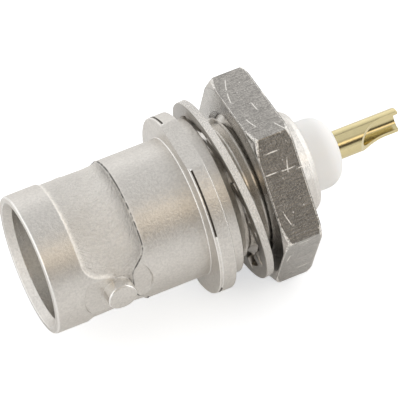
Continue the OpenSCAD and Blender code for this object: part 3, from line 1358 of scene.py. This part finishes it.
@dataclass
class HexNut:
    """The hexagon nut, with chamfered corners and rounded edges, whose pale paint is partly rubbed
    wear and partly a painted highlight.
    """

    half_flats: float = 6.35
    thickness: float = 2.72
    face: float = 6.74
    rear_face: float = 7.02
    slope: float = math.radians(30)
    turn: float = math.radians(7.3)
    bore: float = 4.8075
    countersink: float = 0.28
    crest: float = 4.33
    edge: float = 0.07
    corner_power: float = 520.0
    per_side: int = 60
    rubbed_and_highlit_rows: tuple[int, ...] = (5, 6)

    def flat(self, angle: float) -> float:
        """Radius of the hexagon, with its corners worn round, at an angle from one of them."""
        shares = [
            max(0.0, math.cos(angle - math.radians(30 + 60 * side))) ** self.corner_power
            for side in range(6)
        ]
        return self.half_flats / sum(shares) ** (1 / self.corner_power)

    def chamfer(self, angle: float, face: float) -> list[Vector]:
        """Points of one end's chamfer at one angle, from the end face to the flat.

        Args:
            angle: Angle from a corner.
            face: Radius that the chamfer starts at.

        Returns:
            Points as (distance from the end face, 0, radius).
        """
        top = self.flat(angle)
        edge = min(face, top)
        fall = (top - edge) * math.tan(self.slope)
        chamfer = max(top - edge, 0.0)
        ease_in = min(self.edge, 0.5 * max(fall, 0.5 * self.edge))
        points = [
            Vector((0.0, 0, edge - 2.4 * self.edge)),
            Vector((0.0, 0, edge - self.edge)),
            Vector((0.1 * self.edge, 0, edge - 0.45 * self.edge)),
            Vector((0.45 * self.edge, 0, edge - 0.1 * self.edge)),
            Vector((max(0.5 * fall, self.edge), 0, edge + 0.5 * chamfer)),
            Vector((max(fall - 0.6 * ease_in, 1.2 * self.edge), 0, top - 0.6 * ease_in)),
            Vector((fall + self.edge * 1.3, 0, top)),
            Vector((fall + self.edge * 2.2, 0, top)),
        ]
        slope_there = edge + (points[5].x / math.tan(self.slope) if fall else chamfer)
        points[5].z = min(points[5].z, slope_there)
        return points

    def rim(self, angle: float) -> list[Vector]:
        """Points of the nut's outside at one angle, from its front face to its rear face.

        Args:
            angle: Angle from a corner.

        Returns:
            Points as (place, 0, radius).
        """
        front = self.chamfer(angle, self.face)
        rear = self.chamfer(angle, self.rear_face)
        start, end = front[-1].x, self.thickness - rear[-1].x
        rows = [0.15 + 0.1 * row for row in range(8)]
        side = [Vector((start + (end - start) * share, 0, front[-1].z)) for share in rows]
        back = [Vector((self.thickness - point.x, 0, point.z)) for point in reversed(rear)]
        return front + side + back

    def build(self, mouth_thread: float, pitch: float) -> bpy.types.Object:
        """Makes the nut.

        Args:
            mouth_thread: Place where the tail's thread starts, which the nut's thread meshes with.
            pitch: Advance of the thread in one turn.

        Returns:
            The nut.
        """
        low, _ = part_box("hex_nut")
        start = low.x / MM
        outside = len(self.rim(0.0))
        inner = [
            Vector((self.thickness, 0, self.bore + self.countersink)),
            Vector((self.thickness - self.countersink, 0, self.bore)),
            Vector((self.countersink, 0, self.bore)),
            Vector((0.0, 0, self.bore + self.countersink)),
        ]
        line = [Vector((0.001 * row, 0, 9.0 + row)) for row in range(outside)] + inner
        mesh = turned(line, Sweep.RING, 6 * self.per_side)
        layer = mesh.verts.layers.float.new("edge")
        for vert in mesh.verts:
            radius = math.hypot(vert.co.y, vert.co.z)
            row = round(radius - 9.0)
            # Marks the edge rows that get pale paint, partly rubbed wear and partly a painted
            # highlight.
            vert[layer] = float(row in self.rubbed_and_highlit_rows or outside - 1 - row in self.rubbed_and_highlit_rows)
            side, part = divmod(side_angle(vert.co.y, vert.co.z) / math.radians(60) + 0.5, 1.0)
            bent = math.copysign(abs(2 * part - 1) ** 1.7, 2 * part - 1) / 2
            angle = math.radians(60) * (side + bent)
            if radius > 8.5:
                point = self.rim(angle)[row]
                vert.co.x, radius = point.x, point.z
            turned_by = angle + self.turn
            vert.co.y = -radius * math.cos(turned_by)
            vert.co.z = radius * math.sin(turned_by)
            vert.co.x += start
        bmesh.ops.recalc_face_normals(mesh, faces=mesh.faces)
        foot = 0.46 * pitch
        first = start + foot + 0.03
        turns = (self.thickness - 2 * foot - 0.06) / pitch
        phase = ((first - mouth_thread) / pitch - 0.5) % 1.0
        joined(mesh, thread_ridge(first, turns, self.bore, self.crest, pitch, phase))
        nut = solid("panel_nut", mesh)
        for face in nut.data.polygons:
            radius = math.hypot(face.center.y, face.center.z) / MM
            face.material_index = int(abs(face.normal.x) > 0.8 or radius < self.bore + 0.4)
        unroll(nut, start, self.half_flats)
        smooth(nut, 30)
        return nut


@dataclass
class Insulators:
    """The two PTFE insulators inside the shell."""

    body: float = 3.08
    joint: float = 0.5
    front_nose: float = 2.45
    front_hole: float = 1.12
    step: tuple[float, float] = (-4.7, -3.9)
    neck: float = 2.78
    rear_nose: float = 2.47
    rear_round: float = 1.36
    rear_hole: float = 1.023
    ring_hole: tuple[float, float] = (1.2, 1.62)
    shoulder: float = 6.2

    def front(self) -> bpy.types.Object:
        """Makes the front insulator, which lines the mouth."""
        low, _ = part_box("front_insulator")
        corners = [
            Corner(low.x / MM, self.front_hole, 0.06),
            Corner(low.x / MM, self.front_nose, 0.12),
            Corner(self.step[0], self.front_nose),
            Corner(self.step[0], self.neck),
            Corner(self.step[1], self.neck),
            Corner(self.step[1], self.body),
            Corner(self.joint, self.body),
            Corner(self.joint, self.front_hole),
        ]
        mesh = turned(rounded_profile(corners, Sweep.RING), Sweep.RING, 128)
        piece = solid("insulator_front", mesh)
        smooth(piece)
        return piece

    def rear(self) -> bpy.types.Object:
        """Makes the rear insulator, whose round nose stands out of the spigot."""
        _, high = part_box("rear_insulator")
        end = high.x / MM
        corners = [
            Corner(end, self.rear_hole, 0.05),
            Corner(self.joint + self.ring_hole[0], self.rear_hole),
            Corner(self.joint + self.ring_hole[0], self.ring_hole[1]),
            Corner(self.joint, self.ring_hole[1]),
            Corner(self.joint, self.body),
            Corner(self.shoulder, self.body),
            Corner(self.shoulder, self.rear_nose),
            Corner(end, self.rear_nose, self.rear_round),
        ]
        mesh = turned(rounded_profile(corners, Sweep.RING, 14), Sweep.RING, 160)
        piece = solid("insulator_rear", mesh)
        smooth(piece)
        return piece


@dataclass
class Contact:
    """The gold-plated centre contact, from its slotted socket to its solder cup."""

    socket: float = 1.1
    socket_bore: float = 0.7
    socket_depth: float = 5.0
    slot: tuple[float, float] = (0.2, 4.0)
    ring: tuple[float, float, float] = (0.5, 1.7, 1.6)
    tube: float = 1.003
    cup: float = 0.72
    cup_depth: float = 3.9
    cup_flat: float = 0.95
    cutter: float = 3.0
    edge: float = 0.035

    def build(self) -> bpy.types.Object:
        """Makes the contact."""
        low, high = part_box("center_contact")
        front, end = low.x / MM, high.x / MM
        corners = [
            Corner(front, 0.0),
            Corner(front, self.socket, 0.12),
            Corner(self.ring[0], self.socket),
            Corner(self.ring[0], self.ring[2], 0.05),
            Corner(self.ring[1], self.ring[2], 0.05),
            Corner(self.ring[1], self.tube),
            Corner(end, self.tube, 0.08),
            Corner(end, 0.0),
        ]
        mesh = turned(rounded_profile(corners, Sweep.POST), Sweep.POST, 96)
        contact = solid("contact_gold", mesh)
        cut(contact, self.drill(end + 0.5, end - self.cup_depth, self.cup, -0.3))
        cut(contact, self.drill(front - 0.5, front + self.socket_depth, self.socket_bore, 0.3))
        cut(contact, self.side_cutter(end))
        for turn in (45, 135):
            cut(contact, self.slot_cutter(front, math.radians(turn)))
        bevel = contact.modifiers.new("worn_edges", "BEVEL")
        bevel.width = self.edge * MM
        bevel.segments = 2
        bevel.limit_method = "ANGLE"
        bevel.angle_limit = math.radians(35)
        settle(contact)
        smooth(contact, 30)
        return contact

    def drill(self, start: float, end: float, radius: float, point: float) -> bpy.types.Object:
        """Makes a drill with a pointed end.

        Args:
            start: Place outside the contact.
            end: Place where the full bore ends.
            radius: Radius of the bore.
            point: Length of the drill's point along the axis, with its sign.

        Returns:
            The drill.
        """
        corners = [Vector((start, 0, 0)), Vector((start, 0, radius)), Vector((end, 0, radius))]
        corners.append(Vector((end + point, 0, 0)))
        return solid("drill", turned(corners, Sweep.POST, 96))

    def side_cutter(self, end: float) -> bpy.types.Object:
        """Makes the tool that opens the solder cup's side.

        Args:
            end: Place of the cup's open end.

        Returns:
            The tool: a round cutter and the straight run behind it.
        """
        mesh = bmesh.new()
        bmesh.ops.create_cone(
            mesh,
            cap_ends=True,
            segments=256,
            radius1=self.cutter,
            radius2=self.cutter,
            depth=4 * self.tube,
        )
        for vert in mesh.verts:
            if vert.co.x > 0.0:
                vert.co.y = math.copysign(self.cutter, vert.co.y)
                vert.co.x = max(vert.co.x, self.cup_flat + 0.5)
        bmesh.ops.translate(mesh, verts=mesh.verts, vec=(end - self.cup_flat, -self.cutter, 0))
        bmesh.ops.remove_doubles(mesh, verts=mesh.verts, dist=1e-5)
        bmesh.ops.recalc_face_normals(mesh, faces=mesh.faces)
        return solid("side_cutter", mesh)

    def slot_cutter(self, front: float, turn: float) -> bpy.types.Object:
        """Makes a saw that cuts two of the socket's slots.

        Args:
            front: Place of the socket's open end.
            turn: Angle of the saw round the axis.

        Returns:
            The saw.
        """
        mesh = bmesh.new()
        bmesh.ops.create_cube(mesh, size=1.0)
        bmesh.ops.scale(
            mesh, vec=(self.slot[1] + 0.5, self.slot[0], 4 * self.socket), verts=mesh.verts
        )
        bmesh.ops.translate(
            mesh, verts=mesh.verts, vec=(front + (self.slot[1] - 0.5) / 2, 0, 0)
        )
        bmesh.ops.rotate(
            mesh, verts=mesh.verts, cent=(0, 0, 0), matrix=Matrix.Rotation(turn, 3, "X")
        )
        return solid("saw", mesh)


# --------------------------------------------------------------------------------------------
# Studio
# --------------------------------------------------------------------------------------------


@dataclass(frozen=True)
class Band:
    """One band of the light tent, seen round the connector's axis.

    Args:
        angle: Middle of the band, from -Y over the top to +Y, in degrees.
        level: How bright it is.
        tint: Its colour.
    """

    angle: float
    level: float
    tint: str = "FFFFFF"


@dataclass
class Studio:
    """The light tent, the floor and the camera."""

    bands: tuple[Band, ...] = (
        Band(-4, 0.84),
        Band(8, 0.8),
        Band(17, 0.45, "FAF4EC"),
        Band(23, 0.1, "F4EADF"),
        Band(33, 0.1, "F4E6D8"),
        Band(40, 0.6, "FFF0DA"),
        Band(46, 1.6, "FFEED6"),
        Band(53, 1.6, "FFEED6"),
        Band(59, 0.7, "FFFAF2"),
        Band(68, 0.58),
        Band(84, 0.6),
        Band(100, 0.76),
        Band(126, 0.82),
        Band(129, 0.3),
        Band(131, 0.3),
        Band(134, 0.8),
        Band(152, 1.1),
        Band(179, 1.22),
    )
    rear_end: float = 1.6
    rear_start: float = 0.5
    rear_full: float = 0.72
    front_end: float = 1.25
    front_start: float = -0.48
    front_full: float = -0.66
    floor_size: float = 0.6
    floor_colour: str = "F2F2F2"
    floor_glow: str = "F6FAFF"
    floor_seen: float = 0.5
    floor_mirrored: float = 0.08
    lens: float = 369.46
    distance: float = 268.844
    aside: float = -11.2613
    down: float = 4.3208
    roll: float = math.radians(21.3809)
    swing: float = math.radians(12.9345)
    above: float = math.radians(50.2)

    def build_world(self) -> None:
        """Makes the light tent as a world that the camera sees as white."""
        world = bpy.data.worlds.new("light_tent")
        bpy.context.scene.world = world
        world.use_nodes = True
        tree = world.node_tree
        tree.nodes.clear()
        way = add_node(tree, "ShaderNodeTexCoord").outputs["Generated"]
        split = add_node(tree, "ShaderNodeSeparateXYZ", Vector=way)
        near = add_node(
            tree, "ShaderNodeMath", {"operation": "MULTIPLY"}, i0=split.outputs["Y"], i1=-1.0
        )
        angle = add_node(
            tree,
            "ShaderNodeMath",
            {"operation": "ARCTAN2"},
            i0=split.outputs["Z"],
            i1=near.outputs[0],
        )
        share = add_node(
            tree,
            "ShaderNodeMapRange",
            Value=angle.outputs[0],
            From_Min=-math.pi,
            From_Max=math.pi,
        )
        ramp = add_node(tree, "ShaderNodeValToRGB", Fac=share.outputs["Result"])
        stops = ramp.color_ramp.elements
        while len(stops) < len(self.bands):
            stops.new(0.5)
        for stop, band in zip(stops, self.bands):
            stop.position = (band.angle + 180) / 360
        for band in self.bands:
            stop = min(stops, key=lambda s, b=band: abs(s.position - (b.angle + 180) / 360))
            tint = colour(band.tint)
            stop.color = (*(band.level * part for part in tint[:3]), 1.0)
        lit = ramp.outputs["Color"]
        for start, full, level in (
            (self.rear_start, self.rear_full, self.rear_end),
            (self.front_start, self.front_full, self.front_end),
        ):
            end = add_node(
                tree,
                "ShaderNodeMapRange",
                Value=split.outputs["X"],
                From_Min=start,
                From_Max=full,
            )
            lit = add_node(
                tree,
                "ShaderNodeMix",
                {"data_type": "RGBA"},
                i0=end.outputs["Result"],
                i6=lit,
                i7=(level, level, level, 1.0),
            ).outputs[2]
        path = add_node(tree, "ShaderNodeLightPath")
        seen = add_node(
            tree,
            "ShaderNodeMix",
            {"data_type": "RGBA"},
            i0=path.outputs["Is Camera Ray"],
            i6=lit,
            i7=(1.0, 1.0, 1.0, 1.0),
        )
        back = add_node(tree, "ShaderNodeBackground", Color=seen.outputs[2], Strength=1.0)
        add_node(tree, "ShaderNodeOutputWorld", Surface=back.outputs[0])

    def build_floor(self) -> None:
        """Makes the pale floor that the connector lies on."""
        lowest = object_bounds()[0][2]
        mesh = bmesh.new()
        bmesh.ops.create_grid(mesh, x_segments=2, y_segments=2, size=self.floor_size / 2 / MM)
        bmesh.ops.translate(mesh, verts=mesh.verts, vec=(0, 0, lowest / MM))
        floor = solid("floor", mesh)
        material = bpy.data.materials.new("floor_white_card")
        material.use_nodes = True
        tree = material.node_tree
        shader = tree.nodes["Principled BSDF"]
        shader.inputs["Base Color"].default_value = colour(self.floor_colour)
        shader.inputs["Roughness"].default_value = 0.9
        path = add_node(tree, "ShaderNodeLightPath")
        mirrored = add_node(
            tree,
            "ShaderNodeMath",
            {"operation": "MULTIPLY"},
            i0=path.outputs["Is Glossy Ray"],
            i1=self.floor_mirrored,
        )
        glow = add_node(
            tree,
            "ShaderNodeMath",
            {"operation": "MULTIPLY_ADD"},
            i0=path.outputs["Is Camera Ray"],
            i1=self.floor_seen,
            i2=mirrored.outputs[0],
        )
        shader.inputs["Emission Color"].default_value = colour(self.floor_glow)
        tree.links.new(glow.outputs[0], shader.inputs["Emission Strength"])
        floor.data.materials.append(material)
        floor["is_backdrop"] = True

    def build_camera(self) -> None:
        """Makes the camera, which looks down at the near side past the mouth."""
        low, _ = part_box("shell")
        mouth = Vector((low.x / MM, 0, 0))
        towards = Vector((0, -math.cos(self.above), math.sin(self.above)))
        below = Vector((0, -math.sin(self.above), -math.cos(self.above)))
        axis = Vector((1, 0, 0))
        back = towards * math.cos(self.swing) - axis * math.sin(self.swing)
        along = axis * math.cos(self.swing) + towards * math.sin(self.swing)
        right = along * math.cos(self.roll) + below * math.sin(self.roll)
        under = below * math.cos(self.roll) - along * math.sin(self.roll)
        place = mouth - right * self.aside - under * self.down + back * self.distance
        data = bpy.data.cameras.new("camera")
        data.lens = self.lens
        data.sensor_width = 36.0
        data.clip_start = 0.01
        data.clip_end = 10.0
        camera = bpy.data.objects.new("camera", data)
        turn = Matrix((right, -under, back)).transposed().to_4x4()
        camera.matrix_world = Matrix.Translation(place * MM) @ turn
        bpy.context.scene.collection.objects.link(camera)
        bpy.context.scene.camera = camera


def main() -> None:
    """Builds the dressed connector and its studio."""
    logging.basicConfig(level=logging.INFO, format="%(name)s: %(message)s")
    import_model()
    studio = Studio()
    studio.build_camera()
    studio.build_floor()
    studio.build_world()

    shell_finishes = [
        SatinNickel("nickel_plate_turned"),
        # Milled plate that also carries a painted shade line and a painted highlight.
        SatinNickel("nickel_plate_milled_painted_light", chatter=0.1),
        SatinNickel("nickel_plate_threaded", roughness=0.24, height=0.01),
        # Paler plate on edge rounds: partly rubbed wear, partly a painted highlight.
        SatinNickel("nickel_plate_rubbed_painted_highlight", base="F6F4F0", roughness=0.2, height=0.01, mottle=0.04),
        SatinNickel("nickel_plate_rolled", base="EFECE7", roughness=0.4, height=0.02),
        # Dark plate for the flange's groove: painted shade.
        SatinNickel("nickel_plate_groove_painted_shade", base="57524B", roughness=0.5),
    ]
    washer_finishes = [
        # Darker plate on the washer's faces: painted shade between collar and nut.
        SatinNickel("nickel_plate_pressed_painted_shade", base="B4AFA8", roughness=0.3, height=0.015),
        SatinNickel("nickel_plate_sheared", roughness=0.14, grain=0.11, height=0.09),
    ]
    nut_finishes = [
        # Nut plate whose edges are painted pale: partly wear, partly a painted highlight.
        BrightNickel("nickel_plate_worn_painted_highlight"),
        BrightNickel("nickel_plate_faced", "D2CEC8", height=0.004, mottle=0.05, share=0.0),
    ]
    plastic = Fluoroplastic("ptfe_turned").build()
    gold = GoldPlate("gold_plate_bright").build()

    shell = Shell()
    seat(
        shell.build(),
        "shell",
        "connector",
        "shell",
        *[finish.build() for finish in shell_finishes],
    )
    seat(
        LockWasher().build(),
        "lock_washer",
        "washer",
        "washer",
        *[finish.build() for finish in washer_finishes],
    )
    seat(
        HexNut().build(shell.thread_start, shell.pitch),
        "hex_nut",
        "nut",
        "nut",
        *[finish.build() for finish in nut_finishes],
    )
    insulators = Insulators()
    seat(insulators.front(), "front_insulator", "connector", "insulator", plastic)
    seat(insulators.rear(), "rear_insulator", "connector", "insulator", plastic)
    seat(Contact().build(), "center_contact", "connector", "contact", gold)

    bpy.context.scene.view_settings.view_transform = "Standard"


if __name__ == "__main__":
    main()
